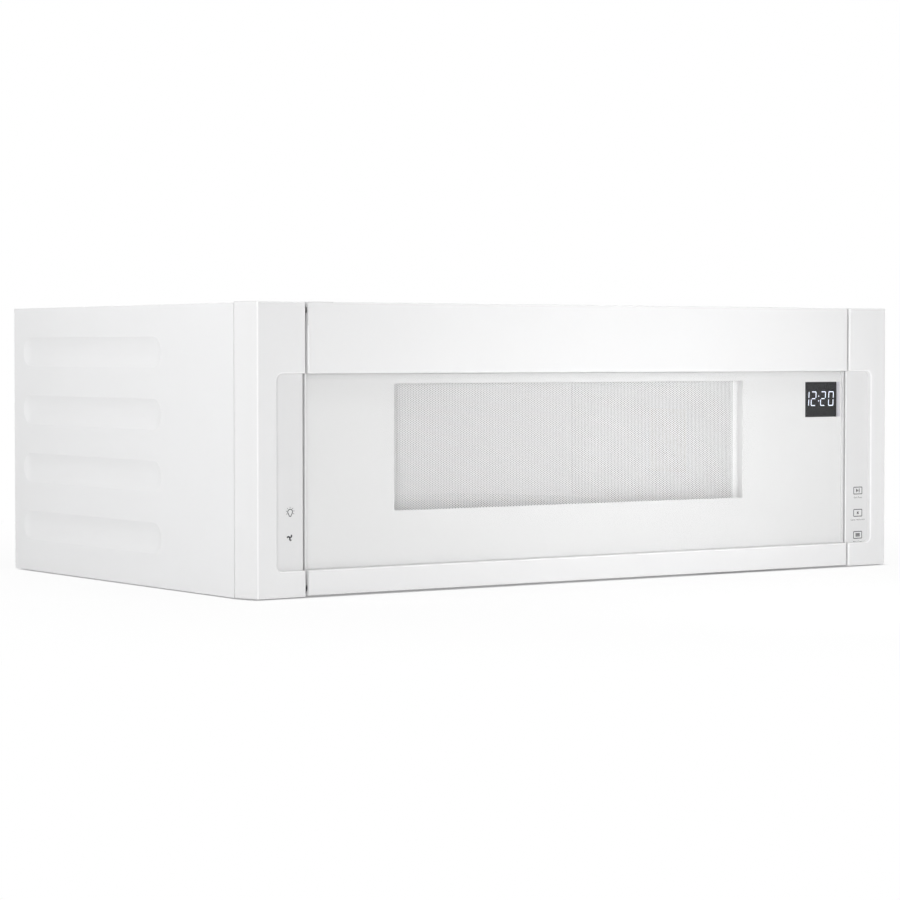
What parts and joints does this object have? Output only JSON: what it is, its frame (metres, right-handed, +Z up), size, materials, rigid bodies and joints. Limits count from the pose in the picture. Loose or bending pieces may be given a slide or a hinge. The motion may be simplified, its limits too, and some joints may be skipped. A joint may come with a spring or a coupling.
{
  "type": "over-the-range microwave hood",
  "caption": "Low-profile over-the-range microwave hood with a left-hinged full-height door, sunk glass front, clock window, touch strips and ribbed steel sides.",
  "frame": {"origin": "centre of the bottom face of the overall box", "axes": "+X to the viewer's right, +Y back towards the wall, +Z up; the door faces -Y"},
  "size_m": [0.759, 0.458, 0.26],
  "materials": {
    "white_paint": "smooth white powder paint",
    "white_moulding": "white satin moulding",
    "galvanised": "galvanised sheet",
    "enamel": "light cavity enamel",
    "clear_glass": "clear glass",
    "frosted_lens": "frosted lens",
    "glass_print": "white print",
    "screen_steel": "light grey painted steel",
    "dark_plastic": "dark plastic",
    "grey_plastic": "grey plastic",
    "natural_nylon": "natural nylon",
    "board": "green circuit board",
    "steel": "plain steel",
    "core_steel": "varnished laminations",
    "copper": "enamelled winding wire",
    "aluminium": "aluminium",
    "mica": "mica sheet",
    "charcoal": "activated charcoal pad",
    "rubber": "black rubber"
  },
  "bodies": {
    "cabinet": {"base_plate": "white_paint", "blower_housings": "grey_plastic", "blower_motor": "galvanised", "capacitor": "aluminium", "case_screws": "steel", "catch_magnet": "dark_plastic", "cavity_lamp": "aluminium", "charcoal_filters": "charcoal", "control_board": "board", "control_carrier": "grey_plastic", "cord_bushing": "rubber", "exhaust_frame": "galvanised", "fan_housing": "grey_plastic", "fan_motor": "core_steel", "filter_rails": "galvanised", "front_plate": "enamel", "hinge_brackets": "steel", "interlock_holder": "natural_nylon", "interlock_switches": "dark_plastic", "lamp_boards": "board", "lamp_lenses": "frosted_lens", "left_trim": "white_moulding", "line_filter": "board", "magnetron_core": "aluminium", "magnetron_yoke": "steel", "outer_cabinet": "white_paint", "oven_cavity": "enamel", "rear_panel": "galvanised", "right_trim": "white_moulding", "thermal_cutouts": "dark_plastic", "touch_boards": "board", "transformer_core": "core_steel", "transformer_windings": "copper", "turntable_motor": "steel", "wall_bracket": "galvanised", "waveguide": "galvanised", "waveguide_cover": "mica"},
    "door": {"door_frame": "white_moulding", "door_glass": "clear_glass", "glass_print": "glass_print", "door_screen": "screen_steel", "choke_frame": "screen_steel", "inner_pane": "clear_glass", "choke_cover": "dark_plastic", "strike_plate": "steel", "interlock_fingers": "natural_nylon", "display_module": "dark_plastic", "hinge_bushes": "natural_nylon"},
    "turntable": {"turntable_tray": "clear_glass", "turntable_coupler": "natural_nylon"},
    "roller_ring": {"roller_ring": "natural_nylon"},
    "roller_1": {"roller_1": "natural_nylon"},
    "roller_2": {"roller_2": "natural_nylon"},
    "roller_3": {"roller_3": "natural_nylon"},
    "cooling_fan": {"fan_blade": "grey_plastic"},
    "vent_blower": {"blower_shaft": "steel", "blower_wheels": "dark_plastic"},
    "damper": {"damper_flap": "galvanised"},
    "filter_left": {"grease_filter_left": "aluminium"},
    "filter_right": {"grease_filter_right": "aluminium"}
  },
  "joints": [
    {"name": "door_hinge", "type": "hinge", "parent": "cabinet", "child": "door", "pos_m": [-0.3058, -0.2225, 0], "axis": [0, 0, -1], "range_deg": [0, 90]},
    {"name": "turntable_spin", "type": "hinge", "parent": "cabinet", "child": "turntable", "pos_m": [-0.022, -0.033, 0.0556], "axis": [0, 0, 1], "continuous": true},
    {"name": "roller_ring_spin", "type": "hinge", "parent": "cabinet", "child": "roller_ring", "pos_m": [-0.022, -0.033, 0.0483], "axis": [0, 0, 1], "continuous": true},
    {"name": "roller_1_spin", "type": "hinge", "parent": "roller_ring", "child": "roller_1", "pos_m": [-0.022, 0.059, 0.0483], "axis": [0, 1, 0], "continuous": true},
    {"name": "roller_2_spin", "type": "hinge", "parent": "roller_ring", "child": "roller_2", "pos_m": [-0.10167, -0.079, 0.0483], "axis": [-0.866, -0.5, 0], "continuous": true},
    {"name": "roller_3_spin", "type": "hinge", "parent": "roller_ring", "child": "roller_3", "pos_m": [0.05767, -0.079, 0.0483], "axis": [0.866, -0.5, 0], "continuous": true},
    {"name": "cooling_fan_spin", "type": "hinge", "parent": "cabinet", "child": "cooling_fan", "pos_m": [0.316, 0.105, 0.124], "axis": [0, 1, 0], "continuous": true},
    {"name": "vent_blower_spin", "type": "hinge", "parent": "cabinet", "child": "vent_blower", "pos_m": [0, 0.175, 0.188], "axis": [1, 0, 0], "continuous": true},
    {"name": "damper_hinge", "type": "hinge", "parent": "cabinet", "child": "damper", "pos_m": [0, 0.207, 0.2482], "axis": [-1, 0, 0], "range_deg": [0, 75]},
    {"name": "filter_left_slide", "type": "slide", "parent": "cabinet", "child": "filter_left", "axis": [0, -1, 0], "range_m": [0, 0.012]},
    {"name": "filter_right_slide", "type": "slide", "parent": "cabinet", "child": "filter_right", "axis": [0, -1, 0], "range_m": [0, 0.012]}
  ],
  "couplings": [
    {"joint": "roller_ring_spin", "follows": "turntable_spin", "ratio": 0.5},
    {"joint": "roller_1_spin", "follows": "turntable_spin", "ratio": -6.5714},
    {"joint": "roller_2_spin", "follows": "turntable_spin", "ratio": -6.5714},
    {"joint": "roller_3_spin", "follows": "turntable_spin", "ratio": -6.5714}
  ]
}
